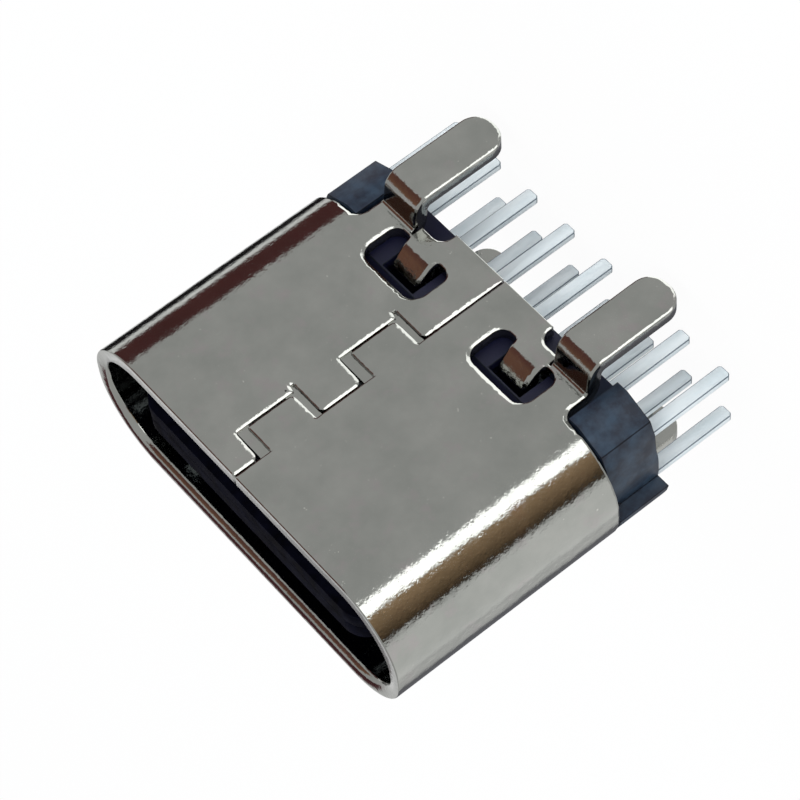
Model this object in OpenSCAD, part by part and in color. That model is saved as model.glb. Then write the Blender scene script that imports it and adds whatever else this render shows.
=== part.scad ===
// Upright USB-C receptacle for a circuit board: folded shell with stepped legs, moulded body, 2 x 8 contacts.
// Z = 0 is the board's surface, +Z is the way the plug leaves, and -Y is the face with the shell's seam.

/* [Shell] */
// Overall width of the shell, across its rounded ends
shell_w = 8.94; // [8.6:0.02:11]
// Overall depth of the shell, across its flat faces
shell_d = 3.2; // [3:0.02:4]
// Thickness of the sheet
sheet_t = 0.3; // [0.2:0.01:0.35]
// Outer radius of the rounded ends
end_r = 1.5; // [1.2:0.01:1.5]
// Height of the mouth's rim above the board
mouth_z = 6.45; // [6.2:0.05:10]
// Height of the back edge between two legs above the board
back_edge_z = 0.1; // [0.05:0.01:0.3]
// Height at which the rounded ends are cut back
end_cut_z = 1.23; // [1:0.01:1.4]
// Width of the back edge between the two relief notches
back_edge_w = 2.76; // [2.4:0.02:3]
// Depth of the relief notch beside each leg
notch_h = 0.36; // [0.2:0.01:0.45]
// Corner radius of the relief notches
notch_r = 0.25; // [0.1:0.01:0.28]

/* [Seam] */
// Gap between the two edges that meet at the seam
seam_gap = 0.03; // [0.02:0.01:0.06]
// How far each interlocking tab reaches past the seam
lock_reach = 0.71; // [0.4:0.01:0.9]
// Height of each interlocking tab's plain face
lock_h = 1.05; // [0.7:0.01:1.2]
// Distance from the mouth to the first tab
lock_first = 0.84; // [0.6:0.01:1]
// Distance from one tab to the next
lock_pitch = 2.4; // [2:0.05:2.5]
// Height of the coined groove on the mouth side of each tab
lock_gap = 0.27; // [0.1:0.01:0.35]
// Height of the coined groove on the board side of each tab
lock_back_gap = 0.14; // [0.05:0.01:0.3]
// How far the slit at each tab's inner corner runs past the tab
lock_slit = 0.18; // [0.05:0.01:0.3]
// Height of that slit
lock_slit_h = 0.08; // [0.04:0.01:0.1]
// Depth of the coined grooves
coin_depth = 0.14; // [0.05:0.01:0.15]

/* [Windows] */
// Distance of each window's centre from the seam
window_x = 1.53; // [1.45:0.01:1.7]
// Width of each window
window_w = 1.6; // [1.3:0.01:1.7]
// Lower edge of the windows above the board
window_z = 0.75; // [0.72:0.01:0.9]
// Height of each window
window_h = 0.95; // [0.8:0.01:1.1]
// Corner radius of the windows
window_r = 0.3; // [0.1:0.01:0.35]
// Width of the latch tab in each window
latch_w = 0.76; // [0.5:0.01:0.8]
// Length of the latch tab along its middle
latch_len = 0.62; // [0.4:0.01:0.7]
// Angle by which the latch tab is bent inwards
latch_angle = 44; // [30:1:50]

/* [Legs] */
// Distance of each leg's centre from the seam
leg_x = 2.456; // [2.42:0.01:2.5]
// Width of each leg
leg_w = 0.93; // [0.88:0.01:0.94]
// How far each leg steps out from the shell's face
leg_step = 0.715; // [0.5:0.01:0.9]
// Height above the board at which the step starts
leg_step_z = 0.7; // [0.65:0.01:0.72]
// Angle of the step's two bends
leg_bend = 80; // [70:1:85]
// Bend radius at the middle of the sheet
bend_r = 0.24; // [0.2:0.01:0.28]
// How far the legs reach below the board's surface
leg_below = 1.77; // [1.5:0.01:3]
// Corner radius of each leg's tip
leg_tip_r = 0.42; // [0.2:0.01:0.43]

/* [Moulded body] */
// Height of the body's front face, the floor of the mouth
body_z = 1.68; // [1.6:0.01:1.7]
// Chamfer round the body's front edge
body_chamfer = 0.2; // [0.05:0.01:0.22]
// How far the end blocks' seam side lies inside the shell's face
block_drop = 0.04; // [0:0.01:0.1]
// How far the end blocks' seam half lies inside the shell's round ends
ledge_step = 0.35; // [0.1:0.01:0.4]
// Gap between each leg and the end block beside it
block_gap = 0.12; // [0.05:0.01:0.15]
// Clearance between the body and the shell round it
body_gap = 0.02; // [0.01:0.01:0.05]
// Depth of the wells round the tails in the seating face
well_h = 0.12; // [0.05:0.01:0.2]
// Room between each tail and its well's walls
well_room = 0.1; // [0.05:0.01:0.12]
// Room between each latch tab and the walls of its recess
recess_room = 0.06; // [0.02:0.01:0.1]

/* [Tongue] */
// Width of the tongue
tongue_w = 6.69; // [6.6:0.01:6.8]
// Thickness of the tongue
tongue_t = 0.7; // [0.68:0.01:0.8]
// How far the tongue's tip lies inside the mouth
tongue_inset = 0.1; // [0.05:0.01:1]
// Corner radius of the tongue's tip
tongue_r = 0.55; // [0.3:0.01:0.8]
// Thickness of the step at the tongue's root
root_t = 1.3; // [1.1:0.01:1.4]
// Height of the step at the tongue's root
root_h = 0.85; // [0.4:0.01:1.2]
// Distance of the side latch notches from the tongue's tip
catch_inset = 1.65; // [1.3:0.05:2]
// Height of the side latch notches
catch_h = 0.95; // [0.6:0.01:1.1]
// Depth of the side latch notches
catch_depth = 0.4; // [0.2:0.01:0.45]
// Thickness of the plate in the middle of the tongue
plate_t = 0.15; // [0.1:0.01:0.16]

/* [Contacts] */
// Distance between neighbouring contact positions on the tongue
contact_pitch = 0.5; // [0.48:0.01:0.5]
// Width of each contact
contact_w = 0.3; // [0.2:0.01:0.3]
// Thickness of each contact
contact_t = 0.16; // [0.1:0.01:0.18]
// Distance between neighbouring tails
tail_pitch = 1.08; // [1.04:0.01:1.08]
// Distance between the two rows of tails, middle to middle
row_gap = 1.42; // [1.4:0.01:1.44]
// How far the front row's tails reach below the board's surface
front_tail_below = 1.96; // [1.5:0.01:3]
// How far the back row's tails reach below the board's surface
back_tail_below = 2.02; // [1.5:0.01:3]
// Chamfer on the corners of each tail's tip
tail_chamfer = 0.05; // [0.01:0.01:0.1]

/* [Hidden] */
$fn = 48;
eps = 0.01;
root_lap = 0.05;
lock_span = lock_h + lock_gap + lock_back_gap;
mould_gap = 0.01;
inner_w = shell_w - 2 * sheet_t;
inner_d = shell_d - 2 * sheet_t;
inner_r = end_r - sheet_t;
face_y = shell_d / 2;
leg_inner_x = leg_x - leg_w / 2;
leg_outer_x = leg_x + leg_w / 2;
block_x = leg_outer_x + block_gap;
block_top = end_cut_z - notch_r + sqrt(pow(notch_r, 2) - pow(notch_r - block_gap, 2)) - eps;
ledge_y = 0.36;
tongue_z = mouth_z - tongue_inset;
wafer_z = 0.95;
wafer_w = tongue_w + 0.1;
wafer_d = 1.72;
plate_z = wafer_z + 0.15;
plate_top = tongue_z - 0.25;
catch_r = 0.1;
fan_top = 0.9;
fan_bottom = 0.3;
fan_lap = 0.15;
step_top = body_z + 0.1;
step_rise = 0.1;
ground_inset = 0.45;
power_inset = 0.7;
signal_inset = 0.95;
arc_steps = 8;
positions = [-5.5, -2.5, -1.5, -0.5, 0.5, 1.5, 2.5, 5.5];
front_ids = ["a1", "a4", "a5", "a6", "a7", "a8", "a9", "a12"];
back_ids = ["b12", "b9", "b8", "b7", "b6", "b5", "b4", "b1"];
front_contacts = [for (id = front_ids) str("contact_", id)];
back_contacts = [for (id = back_ids) str("contact_", id)];
moulded = ["rear_housing", "front_wafer", "back_wafer"];

// ---- helpers ----

// A rectangle with round corners, centred; with h = 2 r it has two round ends
module rounded(w, h, r) {
    square([w - 2 * r, h], center = true);
    if (h > 2 * r + eps)
        square([w, h - 2 * r], center = true);
    for (x = [-1, 1], y = h > 2 * r + eps ? [-1, 1] : [0])
        translate([x * (w / 2 - r), y * (h / 2 - r)])
            circle(r);
}

// Draws its children on the front and back, and left and right of the seam
module four_places() {
    for (x = [0, 1], y = [0, 1])
        mirror([x, 0, 0])
            mirror([0, y, 0])
                children();
}

// Draws a shape given in X and Z as a slab from y0 to y1
module slab(y0, y1) {
    translate([0, y1, 0])
        rotate([90, 0, 0])
            linear_extrude(y1 - y0)
                children();
}

// Draws a profile given in Y and Z as a bar w wide, centred on X = 0
module bar(w) {
    translate([-w / 2, 0, 0])
        rotate([90, 0, 90])
            linear_extrude(w)
                children();
}

// Steps [length, turn] that go round an arc of radius r at the middle of a strip
function arc(r, angle) = [for (i = [1:arc_steps]) [2 * r * sin(abs(angle / arc_steps) / 2), angle / arc_steps]];

// Places along a path that starts at p with heading h, as [point, heading]
function walk(steps, p, h, i = 0) =
    i == len(steps)
        ? [[p, h]]
        : concat(
            [[p, h]],
            walk(steps, p + steps[i][0] * heading(h + steps[i][1] / 2), h + steps[i][1], i + 1)
        );

// Unit vector of a heading in Y and Z: 0 points down, and positive headings lean to -Y
function heading(h) = [-sin(h), -cos(h)];

// Unit vector across a heading
function across(h) = [-cos(h), sin(h)];

// Outline of a strip of thickness t along a path
function strip(path, t) = concat(
    [for (p = path) p[0] + across(p[1]) * t / 2],
    [for (i = [len(path) - 1:-1:0]) path[i][0] - across(path[i][1]) * t / 2]
);

// ---- shell ----

// The sheet bent to its rounded section, from the back edge to the mouth
module sleeve() {
    translate([0, 0, back_edge_z])
        linear_extrude(mouth_z - back_edge_z)
            difference() {
                rounded(shell_w, shell_d, end_r);
                rounded(inner_w, inner_d, inner_r);
            }
}

// What is cut from the back edge right of the seam: relief notch, the leg's own width and the cut-back end
module back_cut() {
    notch_x = back_edge_w / 2;
    notch_top = back_edge_z + notch_h;
    // relief notch, which runs into the leg's width
    translate([notch_x + notch_r, back_edge_z - eps])
        square([leg_outer_x - notch_x - notch_r, notch_h + eps]);
    translate([notch_x, back_edge_z - eps])
        square([notch_r + eps, notch_h - notch_r + eps]);
    translate([notch_x + notch_r, notch_top - notch_r])
        circle(notch_r);
    // the leg's width, up to where its step starts
    translate([leg_inner_x, back_edge_z - eps])
        square([leg_w, leg_step_z - back_edge_z + eps]);
    // cut-back end with a round inner corner
    translate([leg_outer_x + notch_r, back_edge_z - eps])
        square([shell_w, end_cut_z - back_edge_z + eps]);
    translate([leg_outer_x - eps, back_edge_z - eps])
        square([notch_r + 2 * eps, end_cut_z - notch_r - back_edge_z + eps]);
    translate([leg_outer_x + notch_r, end_cut_z - notch_r])
        circle(notch_r);
}

// The seam's line through the front face: straight stretches, and a jog round each interlocking tab
module seam_line() {
    difference() {
        translate([-seam_gap / 2, -eps])
            square([seam_gap, mouth_z + 2 * eps]);
        lock_places()
            translate([-seam_gap, -lock_back_gap])
                square([2 * seam_gap, lock_span]);
    }
    lock_places()
        difference() {
            translate([-seam_gap / 2, -lock_back_gap])
                square([lock_reach + seam_gap, lock_span]);
            translate([-seam_gap / 2 - eps, -lock_back_gap + seam_gap])
                square([lock_reach + eps, lock_span - 2 * seam_gap]);
        }
    // a slit past each tab's inner corner
    lock_places()
        translate([lock_reach, -lock_back_gap])
            square([lock_slit, lock_slit_h]);
}

// Grooves coined across each tab: a wide one on its mouth side and a narrow one on its board side
module coined_grooves() {
    lock_places() {
        translate([-seam_gap / 2, lock_h])
            square([lock_reach, lock_gap]);
        translate([-seam_gap / 2, -lock_back_gap])
            square([lock_reach, lock_back_gap]);
    }
}

// Draws its children at the lower corner of each tab's plain face, on the seam
module lock_places() {
    for (i = [0, 1])
        translate([0, mouth_z - lock_first - i * lock_pitch - lock_h])
            children();
}

// A window's opening
module window() {
    translate([window_x, window_z + window_h / 2])
        rounded(window_w, window_h, window_r);
}

// The latch tab bent in from a window's lower edge
module latch() {
    straight = latch_len - root_lap - bend_r * latch_angle * PI / 180;
    steps = concat([[root_lap, 0]], arc(bend_r, latch_angle), [[straight, 0]]);
    path = walk(steps, [face_y - sheet_t / 2, root_lap - window_z], 0);
    translate([window_x, 0, 0])
        mirror([0, 1, 0])
            mirror([0, 0, 1])
                bar(latch_w)
                    polygon(strip(path, sheet_t));
}

// A leg: a strip that steps out from the shell's face and runs straight down, trimmed to a round tip
module leg() {
    run = (leg_step - 2 * bend_r * (1 - cos(leg_bend))) / sin(leg_bend);
    blade_top = leg_step_z - 2 * bend_r * sin(leg_bend) - run * cos(leg_bend);
    steps = concat(
        [[root_lap, 0]],
        arc(bend_r, leg_bend),
        [[run, 0]],
        arc(bend_r, -leg_bend),
        [[blade_top + leg_below, 0]]
    );
    path = walk(steps, [-face_y + sheet_t / 2, leg_step_z + root_lap], 0);
    translate([leg_x, 0, 0])
        intersection() {
            bar(leg_w)
                polygon(strip(path, sheet_t));
            slab(-face_y - leg_step - 1, -face_y + 1)
                leg_outline();
        }
}

// The leg's outline in X and Z, wider than the strip above its round tip
module leg_outline() {
    difference() {
        translate([-leg_w, -leg_below])
            square([2 * leg_w, 2 * leg_below + leg_step_z]);
        for (x = [0, 1])
            mirror([x, 0, 0])
                difference() {
                    translate([leg_w / 2 - leg_tip_r, -leg_below - eps])
                        square([leg_w, leg_tip_r + eps]);
                    translate([leg_w / 2 - leg_tip_r, -leg_below + leg_tip_r])
                        circle(leg_tip_r);
                }
    }
}

module shell() {
    color([0.62, 0.63, 0.6]) {
        difference() {
            sleeve();
            four_places()
                slab(-face_y - eps, 0)
                    back_cut();
            four_places()
                slab(-face_y - eps, -face_y + sheet_t + eps)
                    window();
            slab(-face_y - eps, -face_y + sheet_t + eps)
                seam_line();
            slab(-face_y - eps, -face_y + coin_depth)
                coined_grooves();
        }
        four_places()
            leg();
        four_places()
            latch();
    }
}

// ---- moulded body ----

// Section of one end block: facets on the seam side, a ledge, and the shell's round end on the other side
module end_block_section() {
    flat_y = -face_y + block_drop;
    side_x = shell_w / 2 - ledge_step;
    lap_y = ledge_y + eps;
    polygon([
        [block_x, lap_y],
        [block_x, flat_y],
        [side_x - 0.8, flat_y],
        [side_x - 0.18, flat_y + 0.29],
        [side_x - 0.06, flat_y + 0.61],
        [side_x, flat_y + 1.51],
        [side_x, lap_y],
    ]);
    intersection() {
        rounded(shell_w - 2 * body_gap, shell_d, end_r);
        translate([block_x, ledge_y])
            square([shell_w, shell_d]);
    }
}

// The outer form of the body, without the hollows for what it holds
module body_form() {
    intersection() {
        linear_extrude(body_z)
            rounded(inner_w - 2 * body_gap, inner_d - 2 * body_gap, inner_r - body_gap);
        bar(shell_w)
            chamfered(inner_d - 2 * body_gap);
        slab(-face_y, face_y)
            chamfered(inner_w - 2 * body_gap);
    }
    for (x = [0, 1])
        mirror([x, 0, 0])
            linear_extrude(block_top)
                end_block_section();
}

// Side view of the body: square at the board, chamfered at the front face
module chamfered(w) {
    polygon([
        [-w / 2, 0],
        [w / 2, 0],
        [w / 2, body_z - body_chamfer],
        [w / 2 - body_chamfer, body_z],
        [-w / 2 + body_chamfer, body_z],
        [-w / 2, body_z - body_chamfer],
    ]);
}

// Recess behind a window, into which the latch tab is bent
module latch_recess() {
    reach = 2 * sheet_t + latch_len * sin(latch_angle);
    tall = latch_len + 2 * recess_room;
    translate([window_x - latch_w / 2 - recess_room, -face_y, window_z - 2 * recess_room])
        cube([latch_w + 2 * recess_room, reach, tall + recess_room]);
}

module rear_housing() {
    color([0.1, 0.11, 0.14])
        difference() {
            body_form();
            four_places()
                latch_recess();
            translate([-wafer_w / 2 - mould_gap, -wafer_d / 2 - mould_gap, wafer_z - mould_gap])
                cube([wafer_w + 2 * mould_gap, wafer_d + 2 * mould_gap, body_z]);
            for (side = [-1, 1], i = [0:7])
                contact_form(i, side, mould_gap);
            for (side = [-1, 1], i = [0:7])
                translate([tail_x(i), side * row_gap / 2, 0])
                    cube([contact_w + 2 * well_room, contact_t + 2 * well_room, 2 * well_h], center = true);
        }
}

// ---- tongue ----

// Outline of the tongue in X and Z, with round tip corners and a notch in each side for the plug's latches
module tongue_outline(w, z0, z1) {
    difference() {
        union() {
            translate([-w / 2, z0])
                square([w, z1 - z0 - tongue_r]);
            translate([0, z1 - tongue_r])
                rounded(w, 2 * tongue_r, tongue_r);
        }
        for (x = [-1, 1])
            translate([x * tongue_w / 2, tongue_z - catch_inset - catch_h / 2])
                rounded(2 * catch_depth, catch_h, catch_r);
    }
}

// One moulded half of the tongue with its root, for the row on the given side (-1 front, 1 back)
module wafer(side) {
    color([0.13, 0.14, 0.17])
        difference() {
            union() {
                half_slab(side, tongue_t / 2)
                    tongue_outline(tongue_w, wafer_z, tongue_z);
                half_slab(side, root_t / 2)
                    translate([-tongue_w / 2, wafer_z])
                        square([tongue_w, body_z + root_h - wafer_z]);
                half_slab(side, wafer_d / 2)
                    translate([-wafer_w / 2, wafer_z])
                        square([wafer_w, body_z - wafer_z]);
            }
            plate_form(mould_gap);
            for (i = [0:7])
                contact_form(i, side, mould_gap);
        }
}

// A slab from the middle plane outwards to the given depth, on one side
module half_slab(side, depth) {
    slab(side < 0 ? -depth : mould_gap / 2, side < 0 ? -mould_gap / 2 : depth)
        children();
}

module front_wafer() {
    wafer(-1);
}

module back_wafer() {
    wafer(1);
}

// The plate between the wafers, grown by gap where a hollow is cut for it
module plate_form(gap) {
    slab(-plate_t / 2 - gap, plate_t / 2 + gap)
        tongue_outline(tongue_w + (gap > 0 ? 1 : 0), plate_z - gap, plate_top + gap);
}

module mid_plate() {
    color([0.7, 0.7, 0.7])
        plate_form(0);
}

// ---- contacts ----

// Where contact i lies on the tongue, and where its tail lies
function contact_x(i) = positions[i] * contact_pitch;
function tail_x(i) = (i - 3.5) * tail_pitch;

// How far contact i stops short of the tongue's tip: ground first, then power, then signals
function contact_inset(i) =
    abs(positions[i]) > 5
        ? ground_inset
        : abs(positions[i]) > 2
            ? power_inset
            : signal_inset;

// One contact, grown by gap where a hollow is cut for it. The blade lies in the tongue's face, steps out to
// its row of tails and fans out sideways to its tail.
module contact_form(i, side, gap) {
    below = side < 0 ? front_tail_below : back_tail_below;
    blade_y = tongue_t / 2 - contact_t / 2;
    blade_top = tongue_z - contact_inset(i);
    half = contact_w / 2 + gap;
    inner_y = row_gap / 2 - contact_t / 2 - gap;
    outer_y = row_gap / 2 + contact_t / 2 + gap;
    x0 = contact_x(i);
    x1 = tail_x(i);
    mirror([0, side < 0 ? 1 : 0, 0]) {
        // blade and its step outwards
        translate([x0, 0, 0])
            bar(2 * half)
                polygon([
                    [blade_y - contact_t / 2 - gap, step_top],
                    [blade_y - contact_t / 2 - gap, blade_top + gap],
                    [blade_y + contact_t / 2 + gap, blade_top + gap],
                    [blade_y + contact_t / 2 + gap, step_top + step_rise],
                    [outer_y, fan_top + fan_lap + 2 * step_rise],
                    [outer_y, fan_top],
                    [inner_y, fan_top],
                    [inner_y, fan_top + fan_lap + step_rise],
                ]);
        // fan and tail
        slab(inner_y, outer_y)
            polygon([
                [x0 - half, fan_top + fan_lap],
                [x0 + half, fan_top + fan_lap],
                [x0 + half, fan_top],
                [x1 + half, fan_bottom],
                [x1 + half, tail_chamfer - below],
                [x1 + half - tail_chamfer, -below],
                [x1 - half + tail_chamfer, -below],
                [x1 - half, tail_chamfer - below],
                [x1 - half, fan_bottom],
                [x0 - half, fan_top],
            ]);
    }
}

module contact(i, side) {
    color([0.78, 0.8, 0.8])
        contact_form(i, side, 0);
}

shell();
rear_housing();
front_wafer();
back_wafer();
mid_plate();
for (i = [0:7]) contact(i, -1);
for (i = [0:7]) contact(i, 1);
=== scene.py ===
import math

import bmesh
import bpy
import numpy as np
from mathutils import Matrix, Vector, geometry


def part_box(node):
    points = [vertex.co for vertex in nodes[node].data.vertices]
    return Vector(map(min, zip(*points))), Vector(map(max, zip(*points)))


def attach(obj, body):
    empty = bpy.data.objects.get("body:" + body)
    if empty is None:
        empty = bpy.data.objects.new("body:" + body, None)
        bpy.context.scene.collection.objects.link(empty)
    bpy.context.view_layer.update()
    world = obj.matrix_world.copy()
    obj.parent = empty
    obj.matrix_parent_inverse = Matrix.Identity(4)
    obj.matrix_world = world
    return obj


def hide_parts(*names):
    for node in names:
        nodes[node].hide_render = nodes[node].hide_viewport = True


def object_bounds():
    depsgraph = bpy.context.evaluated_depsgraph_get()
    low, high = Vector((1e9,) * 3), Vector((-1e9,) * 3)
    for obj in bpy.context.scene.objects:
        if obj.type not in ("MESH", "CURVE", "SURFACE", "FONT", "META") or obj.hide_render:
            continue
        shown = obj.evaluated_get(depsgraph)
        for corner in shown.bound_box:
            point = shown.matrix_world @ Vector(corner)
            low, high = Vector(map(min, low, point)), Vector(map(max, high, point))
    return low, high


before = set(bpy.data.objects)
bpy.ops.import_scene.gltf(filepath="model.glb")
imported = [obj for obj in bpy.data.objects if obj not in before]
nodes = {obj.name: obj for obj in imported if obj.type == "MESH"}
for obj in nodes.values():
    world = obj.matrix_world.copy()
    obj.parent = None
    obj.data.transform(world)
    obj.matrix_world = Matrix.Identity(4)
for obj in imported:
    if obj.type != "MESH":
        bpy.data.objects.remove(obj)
cad_lo, cad_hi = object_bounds()
MM = 0.001

# ---- sizes of the shell in millimetres, as in the CAD source; its box comes from the frame ----

shell_lo, shell_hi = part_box("shell")
HALF_W = shell_hi[0] / MM
MOUTH_Z = shell_hi[2] / MM
LEG_Y = -shell_lo[1] / MM
LEG_LOW = shell_lo[2] / MM
SHEET = 0.3
FACE_Y = 1.6
# the shell's section: two flat faces, and ends of two quarter rounds with a short flat between
END_R = 1.5
FLAT_X = HALF_W - END_R
ARC = END_R * math.pi / 2
END_FLAT = 2 * (FACE_Y - END_R)
ROUND = 4 * FLAT_X + 4 * ARC + 2 * END_FLAT
HALF = ROUND / 2
# the board edge: its middle, the notches beside the legs and the cut-back ends
BACK_EDGE = 0.1
BACK_HALF = 1.38
NOTCH_TOP = 0.46
NOTCH_R = 0.25
END_CUT = 1.23
LEG_X, LEG_HALF, LEG_TOP, LEG_TIP_R = 2.456, 0.465, 0.7, 0.42
LEG_SLIT = 0.05
BEND_R, LEG_BEND = 0.24, math.radians(80)
# the windows and the latch tabs cut from them
WINDOW_X, WINDOW_HALF, WINDOW_Z, WINDOW_TOP = 1.53, 0.8, 0.75, 1.7
WINDOW_LOW_R, WINDOW_TOP_R = 0.24, 0.3
LATCH_HALF, LATCH_LEN, LATCH_BEND = 0.38, 0.57, math.radians(44)
LATCH_TAPER, LATCH_ROOT_R, LATCH_TIP_R = 0.02, 0.08, 0.1
# the lock in the seam: where the tabs and pockets start and end below the mouth
SEAM = 0.018
TABS = ((0.83, 1.89), (3.23, 4.29))
POCKETS = ((0.57, 2.03), (2.97, 4.43))
TAB_X, POCKET_X, EAR_X = 0.665, 0.71, 0.85
TAB_R, POCKET_LOW_R, POCKET_FLOOR_R, POCKET_TOP_R = 0.12, 0.12, 0.05, 0.14


# ---- paths of the bent strips ----


BEND_STEPS = 16


def strip_path(parts):
    """Stations (length, out, z, heading) along a strip made of (length, turn) parts."""
    s, o, z, h = 0.0, 0.0, 0.0, 0.0
    out = [(s, o, z, h)]
    for length, turn in parts:
        k = BEND_STEPS if turn else 1
        for i in range(k):
            step = length / k
            mid = h + turn / k / 2
            chord = step
            if turn:
                half = abs(turn) / k / 2
                chord = step * math.sin(half) / half
            o += chord * math.sin(mid)
            z -= chord * math.cos(mid)
            h += turn / k
            s += step
            out.append((s, o, z, h))
    return np.array(out)


LEG_RUN = (LEG_Y - FACE_Y - 2 * BEND_R * (1 - math.cos(LEG_BEND))) / math.sin(LEG_BEND)
LEG_BLADE_Z = LEG_TOP - 2 * BEND_R * math.sin(LEG_BEND) - LEG_RUN * math.cos(LEG_BEND)
LEG_PATH = strip_path(
    [
        (BEND_R * LEG_BEND, LEG_BEND),
        (LEG_RUN, 0),
        (BEND_R * LEG_BEND, -LEG_BEND),
        (LEG_BLADE_Z - LEG_LOW, 0),
    ]
)
LATCH_PATH = strip_path(
    [(BEND_R * LATCH_BEND, LATCH_BEND), (LATCH_LEN - BEND_R * LATCH_BEND, 0)]
)
LEG_END = LEG_TOP - LEG_PATH[-1, 0]


# ---- the sheet's flat pattern: u round the shell from the seam, z upwards ----


def rounded(points):
    """A closed line through (u, z, radius) corners."""
    out = []
    n = len(points)
    for i, (u, z, r) in enumerate(points):
        p = np.array([u, z])
        if not r:
            out.append(p)
            continue
        a = np.array(points[i - 1][:2]) - p
        b = np.array(points[(i + 1) % n][:2]) - p
        a, b = a / np.linalg.norm(a), b / np.linalg.norm(b)
        angle = math.acos(np.clip(a @ b, -1, 1))
        c = p + (a + b) / np.linalg.norm(a + b) * r / math.sin(angle / 2)
        s, e = p + a * r / math.tan(angle / 2), p + b * r / math.tan(angle / 2)
        t0, t1 = math.atan2(*(s - c)[::-1]), math.atan2(*(e - c)[::-1])
        sweep = (t1 - t0 + math.pi) % (2 * math.pi) - math.pi
        k = max(3, round(abs(sweep) / (math.pi / 2) * (4 + 12 * min(r, 0.4))))
        for j in range(k + 1):
            t = t0 + sweep * j / k
            out.append(c + r * np.array([math.cos(t), math.sin(t)]))
    return np.array(out)


def leg_edge():
    """The board edge from the middle of a face to the cut-back end."""
    inner, outer = LEG_X - LEG_HALF, LEG_X + LEG_HALF
    return [
        (BACK_HALF, BACK_EDGE, 0),
        (BACK_HALF, NOTCH_TOP, NOTCH_R),
        (inner - LEG_SLIT, NOTCH_TOP, 0),
        (inner - LEG_SLIT, LEG_TOP, 0),
        (inner, LEG_TOP, 0),
        (inner, LEG_END, LEG_TIP_R),
        (outer, LEG_END, LEG_TIP_R),
        (outer, END_CUT, NOTCH_R),
    ]


def outline():
    """The sheet's outer edge, as corners round it."""
    edge = leg_edge()
    pts = [(SEAM, BACK_EDGE, 0)]
    pts += edge
    pts += [(HALF - w, z, r) for w, z, r in reversed(edge)]
    pts += [(HALF + w, z, r) for w, z, r in edge]
    pts += [(ROUND - w, z, r) for w, z, r in reversed(edge)]
    pts += [(ROUND - SEAM, BACK_EDGE, 0)]
    # up the side with the pockets
    for top, low in reversed(POCKETS):
        a, b = MOUTH_Z - low, MOUTH_Z - top
        pts += [
            (ROUND - SEAM, a, POCKET_LOW_R),
            (ROUND - EAR_X, a, 0),
            (ROUND - EAR_X, a + 0.07, 0),
            (ROUND - POCKET_X, a + 0.1, 0),
            (ROUND - POCKET_X, b - 0.02, POCKET_FLOOR_R),
            (ROUND - SEAM, b, POCKET_TOP_R),
        ]
    pts += [(ROUND - SEAM, MOUTH_Z, 0), (SEAM, MOUTH_Z, 0)]
    # down the side with the tabs
    for top, low in TABS:
        a, b = MOUTH_Z - low, MOUTH_Z - top
        pts += [
            (SEAM, b, 0),
            (-TAB_X, b, 0),
            (-TAB_X, a + 0.01, TAB_R),
            (SEAM, a, 0),
        ]
    return rounded(pts)


def window_edge(centre):
    """A window's edge, with its latch tab standing into it from below."""
    lo, hi = -WINDOW_HALF, WINDOW_HALF
    tip = WINDOW_Z + LATCH_LEN
    pts = [
        (lo, WINDOW_Z, WINDOW_LOW_R),
        (-LATCH_HALF, WINDOW_Z, LATCH_ROOT_R),
        (-LATCH_HALF + LATCH_TAPER, tip, LATCH_TIP_R),
        (LATCH_HALF - LATCH_TAPER, tip, LATCH_TIP_R),
        (LATCH_HALF, WINDOW_Z, LATCH_ROOT_R),
        (hi, WINDOW_Z, WINDOW_LOW_R),
        (hi, WINDOW_TOP, WINDOW_TOP_R),
        (lo, WINDOW_TOP, WINDOW_TOP_R),
    ]
    return rounded([(centre + u, z, r) for u, z, r in pts])


EDGE_STEP = 0.07


def dense(loop):
    """The loop with more points along its straight stretches."""
    out = []
    for a, b in zip(loop, np.roll(loop, -1, 0)):
        k = max(1, math.ceil(np.linalg.norm(b - a) / EDGE_STEP))
        out += [a + (b - a) * i / k for i in range(k)]
    return np.array(out)


def oriented(loop, hole):
    """The loop with the metal on its left, and with no point twice."""
    loop = loop[np.linalg.norm(loop - np.roll(loop, 1, 0), axis=1) > 1e-6]
    loop = dense(loop)
    n = np.roll(loop, -1, 0)
    area = (loop[:, 0] * n[:, 1] - n[:, 0] * loop[:, 1]).sum()
    return loop[::-1] if (area > 0) == hole else loop


# The rolled edge of the stamped sheet, from its cut wall up to its face: how far along, in roll
# widths, and how steep the surface is there, from upright (90) to level with the face (0).
ROLL = ((0.0, 90), (0.1, 64), (0.1, 30), (0.62, 22), (0.2, 9), (0.14, 0))
SOFT_ROLL = ((0.0, 90), (0.06, 60), (0.06, 20), (0.5, 11), (0.3, 5), (0.2, 0))
INNER_STEPS = 4
# how wide the edge is rolled at each place, where it faces the light
SEAM_ROLL, SOFT_SEAM_ROLL, WINDOW_ROLL, NOTCH_ROLL, LEG_ROLL = 0.085, 0.13, 0.1, 0.07, 0.06
END_FACE_ROLL, END_ROLL = 0.1, 0.05
# and at the places where it is the same all along, or turned from the light
MOUTH_ROLL, BACK_ROLL, SLIT_ROLL, SHADE_ROLL = 0.03, 0.014, 0.02, 0.03
# the sheet's inner edge, and how much rounder it is at the far side of the mouth
INNER_ROLL, MOUTH_INNER_ROLL, MOUTH_INNER_MORE = 0.015, 0.03, 0.07


def roll_profile(steps):
    """(inwards, below the face, tilt) of each ring of the rolled edge, in roll widths."""
    x, y, last, rows = 0.0, 0.0, 90, []
    for step, tilt in steps:
        mid = math.radians((tilt + last) / 2)
        x, y, last = x + step * math.cos(mid), y + step * math.sin(mid), tilt
        rows.append((x, y, math.radians(tilt)))
    return [(px, y - py, t) for px, py, t in rows]


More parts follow.
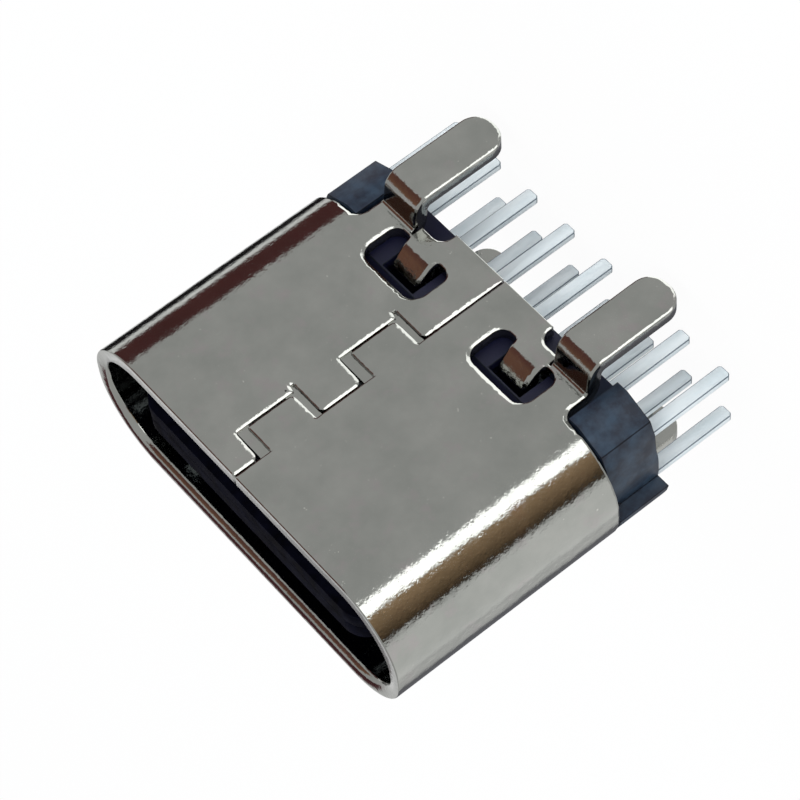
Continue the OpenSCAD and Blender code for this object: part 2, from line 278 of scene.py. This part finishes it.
# the seam's lock lies within these, and a point this near an edge counts as on it
SEAM_REACH, SEAM_LOW = 1.0, WINDOW_TOP + 0.1
ON_EDGE = 0.01


def soft_roll(p, out):
    """Whether an edge is one of the seam's that face the board, which are rolled more softly."""
    seam = min(abs(p[0]), abs(p[0] - ROUND))
    return seam < SEAM_REACH and SEAM_LOW < p[1] < MOUTH_Z - ON_EDGE and out[1] < -0.8


def roll_width(p, out):
    """How wide the sheet's edge is rolled over, by where it is and which way it faces."""
    u, z = p
    seam = min(abs(u), abs(u - ROUND))
    side = min(seam, abs(u - HALF))
    wide = LEG_ROLL
    if z > MOUTH_Z - ON_EDGE:
        return MOUTH_ROLL
    if soft_roll(p, out):
        wide = SOFT_SEAM_ROLL
    elif seam < SEAM_REACH and z > SEAM_LOW:
        wide = SEAM_ROLL
    elif WINDOW_Z - 0.02 < z < WINDOW_TOP + 0.02 and side < WINDOW_X + WINDOW_HALF + 0.02:
        wide = WINDOW_ROLL
    elif z < BACK_EDGE + ON_EDGE and side < BACK_HALF + ON_EDGE:
        return BACK_ROLL
    elif z > END_CUT - 0.3 and side > LEG_X:
        wide = END_FACE_ROLL if side < FLAT_X + 0.5 else END_ROLL
    elif z > NOTCH_TOP - 0.03:
        if LEG_X - LEG_HALF - 0.06 < side < LEG_X - LEG_HALF + 0.005:
            return SLIT_ROLL
        wide = NOTCH_ROLL
    # lit from 0 to 1 as the edge turns towards -X and -Z on the front, and uneven from wear
    lit = min(1.0, max(0.0, (0.7 * (out[0] - out[1]) + 0.15) / 0.7))
    worn = 1 + 0.14 * math.sin(23 * (u + z) + 3 * math.sin(9 * (u - z)))
    worn += 0.07 * math.sin(53 * (u - z) + 2 * math.sin(17 * (u + z)))
    return (SHADE_ROLL + (wide - SHADE_ROLL) * lit) * worn


def inner_roll(p):
    """The radius of the sheet's inner edge, which is largest at the mouth's far side."""
    if p[1] <= MOUTH_Z - ON_EDGE:
        return INNER_ROLL
    return MOUTH_INNER_ROLL + MOUTH_INNER_MORE * (1 + section(p[0])[1][1])


def unit(v):
    """The vectors at length 1."""
    return v / np.linalg.norm(v, axis=-1, keepdims=True)


def flat_shell():
    """The flat pattern as a bmesh: u, z and height, with its own normals in a layer."""
    bm = bmesh.new()
    layer = bm.verts.layers.float_vector.new("flat_normal")
    loops = [oriented(outline(), False)]
    for centre in (WINDOW_X, HALF - WINDOW_X, HALF + WINDOW_X, ROUND - WINDOW_X):
        loops.append(oriented(window_edge(centre), True))
    tops, lows = [], []
    firm, soft = roll_profile(ROLL), roll_profile(SOFT_ROLL)
    for loop in loops:
        e1 = unit(loop - np.roll(loop, 1, 0))
        e2 = unit(np.roll(loop, -1, 0) - loop)
        n1 = np.stack([e1[:, 1], -e1[:, 0]], -1)
        n2 = np.stack([e2[:, 1], -e2[:, 0]], -1)
        out = unit(n1 + n2)
        grow = 1 / np.maximum(0.5, (out * n1).sum(-1))
        rings = []
        widths = [roll_width(p, o) for p, o in zip(loop, out)]
        for k in range(-INNER_STEPS, len(ROLL)):
            ring = []
            for p, o, g, b in zip(loop, out, grow, widths):
                if k < 0:
                    r, tilt = inner_roll(p), -k / INNER_STEPS * math.pi / 2
                    q = p - o * g * r * (1 - math.cos(tilt))
                    depth = SHEET - r * (1 - math.sin(tilt))
                    nrm = (o[0] * math.cos(tilt), o[1] * math.cos(tilt), -math.sin(tilt))
                else:
                    inwards, below, tilt = (soft if soft_roll(p, o) else firm)[k]
                    q = p - o * g * b * inwards
                    depth = b * below
                    nrm = (o[0] * math.sin(tilt), o[1] * math.sin(tilt), math.cos(tilt))
                v = bm.verts.new((q[0], q[1], -depth))
                v[layer] = nrm
                ring.append(v)
            rings.append(ring)
        m = len(loop)
        for r0, r1 in zip(rings, rings[1:]):
            for i in range(m):
                j = (i + 1) % m
                bm.faces.new((r0[i], r0[j], r1[j], r1[i]))
        tops.append(rings[-1])
        lows.append(rings[0])
    for sets, flip in ((tops, False), (lows, True)):
        verts = [v for s in sets for v in s]
        for a, b, c in geometry.tessellate_polygon([[v.co for v in s] for s in sets]):
            tri = (verts[a], verts[b], verts[c])
            up = (tri[1].co - tri[0].co).cross(tri[2].co - tri[0].co).z
            if abs(up) < 1e-12:
                continue
            if (up < 0) != flip:
                tri = tri[::-1]
            if bm.faces.get(tri) is None:
                bm.faces.new(tri)
    return bm, layer


END_STEPS = 20


def cut_lines(bm):
    """Cuts the flat pattern wherever a bend runs."""

    def cut(axis, value):
        co = Vector((0, 0, 0))
        co[axis] = value
        no = Vector((0, 0, 0))
        no[axis] = 1
        bmesh.ops.bisect_plane(
            bm, geom=bm.verts[:] + bm.edges[:] + bm.faces[:], dist=1e-6, plane_co=co, plane_no=no
        )

    for start in (
        FLAT_X,
        FLAT_X + ARC + END_FLAT,
        HALF + FLAT_X,
        HALF + FLAT_X + ARC + END_FLAT,
    ):
        for i in range(END_STEPS + 1):
            cut(0, start + ARC * i / END_STEPS)
    for s in LEG_PATH[:, 0][:-1]:
        cut(1, LEG_TOP - s)
    for s in LATCH_PATH[:, 0][:-1]:
        cut(1, WINDOW_Z + s)


def section(u):
    """Point, outward normal and direction of growing u on the shell's outer face."""
    mirrored = u > HALF
    w = ROUND - u if mirrored else u
    if w <= FLAT_X:
        p, n = (-w, -FACE_Y), (0.0, -1.0)
    elif w <= FLAT_X + ARC:
        t = (w - FLAT_X) / END_R
        n = (-math.sin(t), -math.cos(t))
        p = (-FLAT_X + END_R * n[0], -END_FLAT / 2 + END_R * n[1])
    elif w <= FLAT_X + ARC + END_FLAT:
        n = (-1.0, 0.0)
        p = (-HALF_W, w - FLAT_X - ARC - END_FLAT / 2)
    elif w <= FLAT_X + 2 * ARC + END_FLAT:
        t = (w - FLAT_X - ARC - END_FLAT) / END_R
        n = (-math.cos(t), math.sin(t))
        p = (-FLAT_X + END_R * n[0], END_FLAT / 2 + END_R * n[1])
    else:
        p, n = (w - FLAT_X - 2 * ARC - END_FLAT - FLAT_X, FACE_Y), (0.0, 1.0)
    p, n = np.array(p), np.array(n)
    t = np.array([n[1], -n[0]])
    if mirrored:
        p, n, t = p * (-1, 1), n * (-1, 1), t * (1, -1)
    return p, n, t


def bent(u, z, depth, nrm):
    """Where a point of the flat pattern goes, and its normal."""
    p, n, t = section(u)
    side = min(abs(u), abs(u - HALF), abs(u - ROUND))
    path, start, way = None, 0, 1
    if z < LEG_TOP and abs(side - LEG_X) < LEG_HALF + 0.001:
        path, start, way = LEG_PATH, LEG_TOP, -1
    elif WINDOW_Z < z < WINDOW_Z + LATCH_LEN + 0.01 and abs(side - WINDOW_X) < LATCH_HALF + 0.001:
        path, start, way = LATCH_PATH, WINDOW_Z, 1
    if path is None:
        pos = p - n * depth
        return (pos[0], pos[1], z), (*(nrm[0] * t + nrm[2] * n), nrm[1])
    s = abs(start - z)
    o, dz, h = (np.interp(s, path[:, 0], path[:, i]) for i in (1, 2, 3))
    if way > 0:
        o, dz = -o, -dz
    across = np.array([math.cos(h), math.sin(h)])
    along = np.array([-math.sin(h), math.cos(h)])
    q = np.array([o - SHEET / 2, start + dz]) + across * (SHEET / 2 - depth)
    m = nrm[2] * across + nrm[1] * along
    pos = p + n * q[0]
    return (pos[0], pos[1], q[1]), (*(nrm[0] * t + m[0] * n), m[1])


LEDGE_DEPTH, EAR_DEPTH, INTO = 0.06, 0.08, 0.02


def ledge_boxes():
    """The coined ledges under the gaps beside each tab, as (x, z, depth) ranges.

    They reach a little way into the sheet round each gap.
    """
    out = []
    for (tab_top, tab_low), (top, low) in zip(TABS, POCKETS):
        across = (-0.06, POCKET_X + INTO)
        for z0, z1 in (
            (MOUTH_Z - tab_top - 0.05, MOUTH_Z - top - 0.045),
            (MOUTH_Z - low + 0.005, MOUTH_Z - tab_low + 0.15),
        ):
            out.append((across, (z0, z1), (LEDGE_DEPTH, SHEET)))
        ear = (MOUTH_Z - low - INTO, MOUTH_Z - low + 0.09)
        out.append(((POCKET_X - INTO, EAR_X + INTO), ear, (EAR_DEPTH, SHEET)))
    return out


def add_object(name, data):
    ob = bpy.data.objects.new(name, data)
    bpy.context.scene.collection.objects.link(ob)
    return ob


def make_shell():
    """The shell's skin: the flat pattern cut at the bends, folded up, and the ledges."""
    bm, layer = flat_shell()
    cut_lines(bm)
    pos, nrm = [], []
    for v in bm.verts:
        f = v[layer]
        q, n = bent(v.co.x, v.co.y, -v.co.z, (f[0], f[1], f[2]))
        pos.append(q)
        nrm.append(n)
    bm.verts.index_update()
    faces = [[v.index for v in reversed(f.verts)] for f in bm.faces]
    bm.free()
    for (x0, x1), (z0, z1), (d0, d1) in ledge_boxes():
        ys = (-FACE_Y + d0, -FACE_Y + d1)
        sides = (
            ((0, -1, 0), [(x0, ys[0], z0), (x1, ys[0], z0), (x1, ys[0], z1), (x0, ys[0], z1)]),
            ((0, 0, 1), [(x0, ys[0], z1), (x1, ys[0], z1), (x1, ys[1], z1), (x0, ys[1], z1)]),
            ((0, 0, -1), [(x0, ys[1], z0), (x1, ys[1], z0), (x1, ys[0], z0), (x0, ys[0], z0)]),
            ((0, 1, 0), [(x1, ys[1], z0), (x0, ys[1], z0), (x0, ys[1], z1), (x1, ys[1], z1)]),
        )
        for n, corners in sides:
            i = len(pos)
            pos += corners
            nrm += [n] * 4
            faces.append([i, i + 1, i + 2, i + 3])
    me = bpy.data.meshes.new("shell_skin")
    me.from_pydata([tuple(c * MM for c in p) for p in pos], [], faces)
    me.polygons.foreach_set("use_smooth", [True] * len(me.polygons))
    me.update()
    lens = np.linalg.norm(np.array(nrm), axis=1)
    nrm = [tuple(np.array(n) / (k or 1)) for n, k in zip(nrm, lens)]
    me.normals_split_custom_set_from_vertices(nrm)
    return add_object("shell_skin", me)


# ---- dressed copies of the moulded and stamped nodes ----


ROUNDED_FROM, SHARP_FROM, FLAT_WITHIN = (math.radians(a) for a in (30, 60, 0.6))


def dressed(node, name, width, edge_slot=False):
    """A copy of a CAD node with its edges rounded, in the second material if edge_slot is set."""
    me = nodes[node].data.copy()
    me.name = name
    me.materials.clear()
    bm = bmesh.new()
    bm.from_mesh(me)
    bmesh.ops.remove_doubles(bm, verts=bm.verts[:], dist=1e-7)
    bmesh.ops.dissolve_limit(bm, angle_limit=FLAT_WITHIN, verts=bm.verts[:], edges=bm.edges[:])
    sharp = [e for e in bm.edges if len(e.link_faces) == 2 and e.calc_face_angle() > ROUNDED_FROM]
    bmesh.ops.bevel(
        bm,
        geom=sharp,
        offset=width * MM,
        offset_type="OFFSET",
        segments=2,
        profile=0.5,
        affect="EDGES",
        clamp_overlap=True,
        material=1 if edge_slot else -1,
    )
    bm.to_mesh(me)
    bm.free()
    ob = add_object(name, me)
    me.polygons.foreach_set("use_smooth", [True] * len(me.polygons))
    me.set_sharp_from_angle(angle=SHARP_FROM)
    level = ob.modifiers.new("level_faces", "WEIGHTED_NORMAL")
    level.keep_sharp = True
    level.weight = 100
    return ob


# ---- materials ----


def srgb(r, g, b):
    """A colour written in sRGB from 0 to 255, as the linear RGBA that Blender takes."""

    def lin(c):
        c /= 255
        return c / 12.92 if c <= 0.04045 else ((c + 0.055) / 1.055) ** 2.4

    return (lin(r), lin(g), lin(b), 1.0)


class Mat:
    """A material with a Principled shader, and short names for its nodes."""

    def __init__(self, name):
        self.mat = bpy.data.materials.new(name)
        self.mat.use_nodes = True
        self.tree = self.mat.node_tree
        self.bsdf = next(n for n in self.tree.nodes if n.type == "BSDF_PRINCIPLED")
        self.coord = self.add("ShaderNodeTexCoord").outputs["Object"]

    def add(self, kind, **props):
        """A new node with these properties."""
        n = self.tree.nodes.new(kind)
        for k, v in props.items():
            setattr(n, k, v)
        return n

    def link(self, a, b):
        self.tree.links.new(a, b)

    def surface(self, shader):
        """Makes the shader the material's surface, in place of the Principled one."""
        out = next(n for n in self.tree.nodes if n.type == "OUTPUT_MATERIAL")
        self.link(shader, out.inputs[0])

    def shader_mix(self, fac, a, b):
        m = self.add("ShaderNodeMixShader")
        for i, socket in enumerate((fac, a, b)):
            self.link(socket, m.inputs[i])
        return m.outputs[0]

    def noise(self, size_mm, detail=2.0, rough=0.5, stretch=(1, 1, 1)):
        """Noise with grains of about this size, on the object's own coordinates."""
        m = self.add("ShaderNodeMapping")
        m.inputs["Scale"].default_value = [s / (size_mm * MM) for s in stretch]
        self.link(self.coord, m.inputs["Vector"])
        n = self.add("ShaderNodeTexNoise")
        n.inputs["Scale"].default_value = 1.0
        n.inputs["Detail"].default_value = detail
        n.inputs["Roughness"].default_value = rough
        self.link(m.outputs[0], n.inputs["Vector"])
        return n.outputs[0]

    def ramp(self, src, *stops):
        """A colour ramp through (position, colour) stops."""
        r = self.add("ShaderNodeValToRGB")
        el = r.color_ramp.elements
        while len(el) < len(stops):
            el.new(0.5)
        for e, (p, c) in zip(el, stops):
            e.position = p
            e.color = c if len(c) == 4 else (*c, 1)
        self.link(src, r.inputs[0])
        return r.outputs[0]

    def span(self, src, from_min, from_max, to_min, to_max):
        """Maps one range of values to another."""
        m = self.add("ShaderNodeMapRange")
        for i, v in enumerate((from_min, from_max, to_min, to_max), 1):
            m.inputs[i].default_value = v
        self.link(src, m.inputs[0])
        return m.outputs[0]

    def mix(self, fac, a, b):
        """A mix of two colours; each argument is a socket or a value."""
        m = self.add("ShaderNodeMix", data_type="RGBA")
        for key, v in (("Factor", fac), ("A", a), ("B", b)):
            s = next(i for i in m.inputs if i.name == key and i.enabled)
            if hasattr(v, "links"):
                self.link(v, s)
            else:
                s.default_value = v
        return next(o for o in m.outputs if o.enabled)

    def bump(self, height, distance_mm, normal=None):
        b = self.add("ShaderNodeBump")
        b.inputs["Strength"].default_value = 1.0
        b.inputs["Distance"].default_value = distance_mm * MM
        self.link(height, b.inputs["Height"])
        if normal is not None:
            self.link(normal, b.inputs["Normal"])
        return b.outputs[0]

    def set(self, **values):
        """Sets or links the Principled shader's inputs by name."""
        for k, v in values.items():
            s = self.bsdf.inputs[k.replace("_", " ")]
            if hasattr(v, "links"):
                self.link(v, s)
            else:
                s.default_value = v


def nickel():
    """Nickel plate: uneven grey with a faint blush, lighter specks painted in as glints, and a
    lightly peeled surface.
    """
    m = Mat("nickel_plate")
    tone = m.ramp(
        m.noise(0.9, 3.0, 0.6),
        (0.3, srgb(126, 128, 124)),
        (0.7, srgb(137, 138, 134)),
    )
    blush = m.ramp(m.noise(0.5, 3.0, 0.65), (0.56, (0, 0, 0)), (0.72, (0.5, 0.5, 0.5)))
    tone = m.mix(blush, tone, srgb(138, 131, 132))
    # painted highlight: sparse lighter specks in the plate's colour stand in for glints
    glint_speck = m.ramp(m.noise(0.11, 2.0, 0.7), (0.72, (0, 0, 0)), (0.78, (1, 1, 1)))
    m.set(Base_Color=m.mix(glint_speck, tone, srgb(160, 160, 155)), Metallic=1.0)
    m.set(Roughness=m.span(m.noise(0.35, 3.0, 0.6), 0.3, 0.7, 0.08, 0.13))
    pimples = m.ramp(m.noise(0.15, 3.0, 0.6), (0.5, (0, 0, 0)), (0.72, (1, 1, 1)))
    peel = m.bump(m.noise(0.22, 2.5, 0.6), 0.0048, m.bump(pimples, 0.0017))
    wave = m.bump(m.noise(1.6, 1.0, 0.4), 0.014, peel)
    m.set(Normal=m.bump(m.noise(0.05, 1.0, 0.5), 0.0006, wave))
    return m.mat


SHADED_MIDDLE_TO, UNSHADED_ENDS_FROM = 2.6 * MM, 3.2 * MM


def plastic(name, colour, lighter, rough, shine, middle=None):
    """Moulded plastic, cloudy between two colours; middle, if given, is a darker colour painted
    on it inside the shell as painted shade.
    """
    m = Mat(name)
    tone = m.ramp(m.noise(0.38, 4.0, 0.62), (0.36, colour), (0.66, lighter))
    # painted shade: near the middle in x, inside the shell, the colour turns to the darker middle
    # one
    if middle:
        across = m.add("ShaderNodeSeparateXYZ")
        m.link(m.coord, across.inputs[0])
        out = m.add("ShaderNodeMath", operation="ABSOLUTE")
        m.link(across.outputs[0], out.inputs[0])
        tone = m.mix(m.span(out.outputs[0], SHADED_MIDDLE_TO, UNSHADED_ENDS_FROM, 0, 1), middle, tone)
    m.set(Base_Color=tone, Roughness=m.span(m.noise(0.2, 2.0), 0.3, 0.7, rough, rough + 0.12))
    m.bsdf.inputs["Specular IOR Level"].default_value = shine
    grain = m.bump(m.noise(0.03, 2.0, 0.6), 0.0012)
    m.set(Normal=m.bump(m.noise(0.6, 1.0), 0.012, grain))
    return m.mat


def tin(name, dark, light, metallic, rough):
    """Tinned or bare strip, with marks drawn out along Z."""
    m = Mat(name)
    tone = m.ramp(m.noise(0.3, 3.0, 0.6, (1, 1, 0.25)), (0.3, dark), (0.7, light))
    m.set(Base_Color=tone, Metallic=metallic)
    m.set(Roughness=m.span(m.noise(0.1, 2.0), 0.3, 0.7, rough, rough + 0.12))
    m.set(Normal=m.bump(m.noise(0.08, 2.0, 0.5, (1, 1, 0.3)), 0.002))
    return m.mat


# ---- build ----

shell = make_shell()
shell.data.materials.append(nickel())
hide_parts("shell")
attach(shell, "root")

black = plastic(
    "black_moulding",
    srgb(18, 26, 40),
    srgb(42, 58, 74),
    rough=0.42,
    shine=0.25,
    # painted shade: the darker navy that the moulding takes inside the shell
    middle=srgb(16, 18, 42),
)
housing = dressed("rear_housing", "housing_skin", 0.03, edge_slot=True)
housing.data.materials.append(black)
# painted shade: the rounded edges get a darker plastic, drawn as dark outlines
housing.data.materials.append(
    plastic("shaded_black_edge", srgb(8, 12, 20), srgb(20, 28, 38), rough=0.5, shine=0.15)
)
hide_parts("rear_housing")
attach(housing, "root")

# the tongue is black plastic, painted darker than the housing and without gloss as the shade
# inside the mouth
tongue_black_shaded = plastic(
    "tongue_moulding", srgb(4, 4, 8), srgb(10, 11, 22), rough=0.7, shine=0.02
)
for node in ("front_wafer", "back_wafer"):
    skin = dressed(node, node + "_skin", 0.02)
    skin.data.materials.append(tongue_black_shaded)
    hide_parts(node)
    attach(skin, "root")

tinned = tin("tinned_face", srgb(206, 217, 221), srgb(228, 235, 237), metallic=0.12, rough=0.42)
# painted shade: the rounded edges of the tails get a dark strip, drawn as dark outlines
shaded_tinned_edge = tin("shaded_tinned_edge", srgb(84, 98, 108), srgb(120, 132, 142), metallic=0.3, rough=0.5)
for node in sorted(n for n in nodes if n.startswith("contact_")):
    skin = dressed(node, node + "_skin", 0.018, edge_slot=True)
    skin.data.materials.append(tinned)
    skin.data.materials.append(shaded_tinned_edge)
    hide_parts(node)
    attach(skin, "root")

steel = tin("plate_steel", srgb(170, 172, 174), srgb(200, 202, 204), metallic=1.0, rough=0.25)
nodes["mid_plate"].data.materials.clear()
nodes["mid_plate"].data.materials.append(steel)

# ---- floor ----


def looks_white(tree):
    """1 for the rays that see the background as white: from the camera, a mirror or glass."""
    path = tree.nodes.new("ShaderNodeLightPath")
    total = path.outputs["Is Camera Ray"]
    for kind in ("Is Glossy Ray", "Is Transmission Ray"):
        larger = tree.nodes.new("ShaderNodeMath")
        larger.operation = "MAXIMUM"
        tree.links.new(total, larger.inputs[0])
        tree.links.new(path.outputs[kind], larger.inputs[1])
        total = larger.outputs[0]
    return total


FLOOR_SIZE = 1.2
FLOOR_WHITE = 0.955  # how much of the floor's look is plain white; the rest keeps the shadow

bm = bmesh.new()
bmesh.ops.create_grid(bm, x_segments=2, y_segments=2, size=FLOOR_SIZE)
me = bpy.data.meshes.new("floor")
bm.to_mesh(me)
bm.free()
floor = add_object("floor", me)
floor.location.z = cad_lo[2]
fm = Mat("floor_white")
fm.set(Base_Color=(0.8, 0.8, 0.8, 1), Roughness=0.9)
fm.bsdf.inputs["Specular IOR Level"].default_value = 0.0
glow = fm.add("ShaderNodeEmission")
glow.inputs["Color"].default_value = (1, 1, 1, 1)
glow.inputs["Strength"].default_value = 1.0
seen = fm.add("ShaderNodeMath", operation="MULTIPLY")
seen.inputs[1].default_value = FLOOR_WHITE
fm.link(looks_white(fm.tree), seen.inputs[0])
above = fm.shader_mix(seen.outputs[0], fm.bsdf.outputs[0], glow.outputs[0])
# seen from below, the floor lets the part's underside show
below = fm.add("ShaderNodeBsdfTransparent").outputs[0]
fm.surface(fm.shader_mix(fm.add("ShaderNodeNewGeometry").outputs["Backfacing"], above, below))
me.materials.append(fm.mat)
# the metal looks past the floor, to the cards and the same white in the world
floor.visible_glossy = False

# ---- world: white to the camera, in mirrors and through glass ----

world = bpy.data.worlds.new("studio")
bpy.context.scene.world = world
world.use_nodes = True
wt = world.node_tree
wt.nodes.clear()
mixer = wt.nodes.new("ShaderNodeMixShader")
wt.links.new(looks_white(wt), mixer.inputs[0])
# the soft light on the part, and the white that is seen
for i, colour, strength in ((1, (0.93, 0.96, 1.0, 1), 0.8), (2, (1, 1, 1, 1), 1.0)):
    ground = wt.nodes.new("ShaderNodeBackground")
    ground.inputs["Color"].default_value = colour
    ground.inputs["Strength"].default_value = strength
    wt.links.new(ground.outputs[0], mixer.inputs[i])
wt.links.new(mixer.outputs[0], wt.nodes.new("ShaderNodeOutputWorld").inputs[0])

# ---- cards and light panels round the part, seen only in reflections ----

CARD_FAR = 300
CARD_STEP = 2  # degrees between a card's points


def card(name, turn, rise, colour, far_colour=None, strength=1.0, fade=4):
    """A curved card over the azimuths of turn and the heights of rise, in degrees.

    It fades out towards its edge, and its colour runs to far_colour with the azimuth.
    """
    cols, rows = (max(4, round((hi - lo) / CARD_STEP)) for lo, hi in (turn, rise))
    verts, cover, along = [], [], []
    for i in range(cols + 1):
        for j in range(rows + 1):
            az = turn[0] + (turn[1] - turn[0]) * i / cols
            el = rise[0] + (rise[1] - rise[0]) * j / rows
            edge = min(az - turn[0], turn[1] - az, el - rise[0], rise[1] - el)
            t = min(1.0, edge / fade)
            cover.append(t * t * (3 - 2 * t))
            along.append(i / cols)
            az, el = math.radians(az), math.radians(el)
            way = (math.cos(el) * math.cos(az), math.cos(el) * math.sin(az), math.sin(el))
            verts.append([c * CARD_FAR * MM for c in way])
    faces = []
    for i in range(cols):
        for j in range(rows):
            k = i * (rows + 1) + j
            faces.append((k, k + rows + 1, k + rows + 2, k + 1))
    me = bpy.data.meshes.new(name)
    me.from_pydata(verts, [], faces)
    for key, values in (("cover", cover), ("along", along)):
        me.attributes.new(key, "FLOAT", "POINT").data.foreach_set("value", values)
    m = Mat(name)
    look = m.add("ShaderNodeEmission")
    look.inputs["Strength"].default_value = strength
    shift = m.add("ShaderNodeAttribute", attribute_name="along").outputs["Fac"]
    m.link(m.mix(shift, colour, far_colour or colour), look.inputs["Color"])
    shown = m.add("ShaderNodeAttribute", attribute_name="cover").outputs["Fac"]
    clear = m.add("ShaderNodeBsdfTransparent").outputs[0]
    m.surface(m.shader_mix(shown, clear, look.outputs[0]))
    m.mat.cycles.emission_sampling = "NONE"
    me.materials.append(m.mat)
    ob = add_object(name, me)
    ob.location.z = (cad_lo[2] + cad_hi[2]) / 2
    for kind in ("camera", "diffuse", "transmission", "volume_scatter", "shadow"):
        setattr(ob, "visible_" + kind, False)


LEVEL = (-40, 12)  # the heights that the part's upright walls mirror
WHITE = (1, 1, 1, 1)
BROWN, TAN, SOOT = srgb(120, 76, 76), srgb(244, 204, 160), srgb(10, 2, 4)
card("brown_card", (-42, 2), LEVEL, BROWN, srgb(118, 72, 70), fade=5)
card("black_card", (13, 42), LEVEL, srgb(16, 12, 10), srgb(50, 50, 52))
card("side_light", (0, 13), LEVEL, WHITE, strength=1.7)
card("grey_card", (60, 110), LEVEL, srgb(96, 96, 102), srgb(140, 140, 146), fade=10)
card("far_light", (112, 194), LEVEL, WHITE, strength=1.6, fade=12)
card("strip_light", (-127, -104), LEVEL, WHITE, strength=5.0, fade=5)
card("tan_card", (-169, -125), LEVEL, SOOT, TAN, fade=3)
card("high_card", (-78, -12), (22, 64), srgb(118, 72, 74), srgb(186, 138, 110), fade=3)
card("rear_card", (28, 84), (25, 62), srgb(112, 68, 72), fade=3)
card("low_light", (-85, 10), (-70, -36), WHITE, strength=3.9)


# ---- lamps ----

AIM = (0, 0, 2.5)


def lamp(name, place, size, power):
    """A round area lamp that lights the part but isn't mirrored in it."""
    data = bpy.data.lights.new(name, "AREA")
    data.shape = "DISK"
    data.size = size * MM
    data.energy = power
    ob = add_object(name, data)
    ob.location = [c * MM for c in place]
    ob.rotation_mode = "QUATERNION"
    way = Vector([c * MM for c in AIM]) - ob.location
    ob.rotation_quaternion = way.to_track_quat("-Z", "Y")
    ob.visible_glossy = False
    ob.visible_camera = False


lamp("key", (-60, -80, 110), 70, 0.085)
lamp("fill", (90, -60, 60), 90, 0.04)
lamp("back", (20, 90, 90), 80, 0.02)

# ---- camera, fitted to the photograph's outlines ----

CAMERA_PLACE = Vector((-29.305, -54.607, 21.864)) * MM

data = bpy.data.cameras.new("camera")
data.lens = 156.9
data.sensor_width = 36
data.clip_start, data.clip_end = 0.002, 20
cam = add_object("camera", data)
right = Vector((-0.63246, 0.06925, -0.77149))
up = Vector((0.62818, -0.53686, -0.56317))
back = right.cross(up)
up = back.cross(right)
basis = Matrix((right.normalized(), up.normalized(), back.normalized())).transposed()
cam.matrix_world = Matrix.Translation(CAMERA_PLACE) @ basis.to_4x4()
bpy.context.scene.camera = cam

view = bpy.context.scene.view_settings
view.view_transform = "Standard"
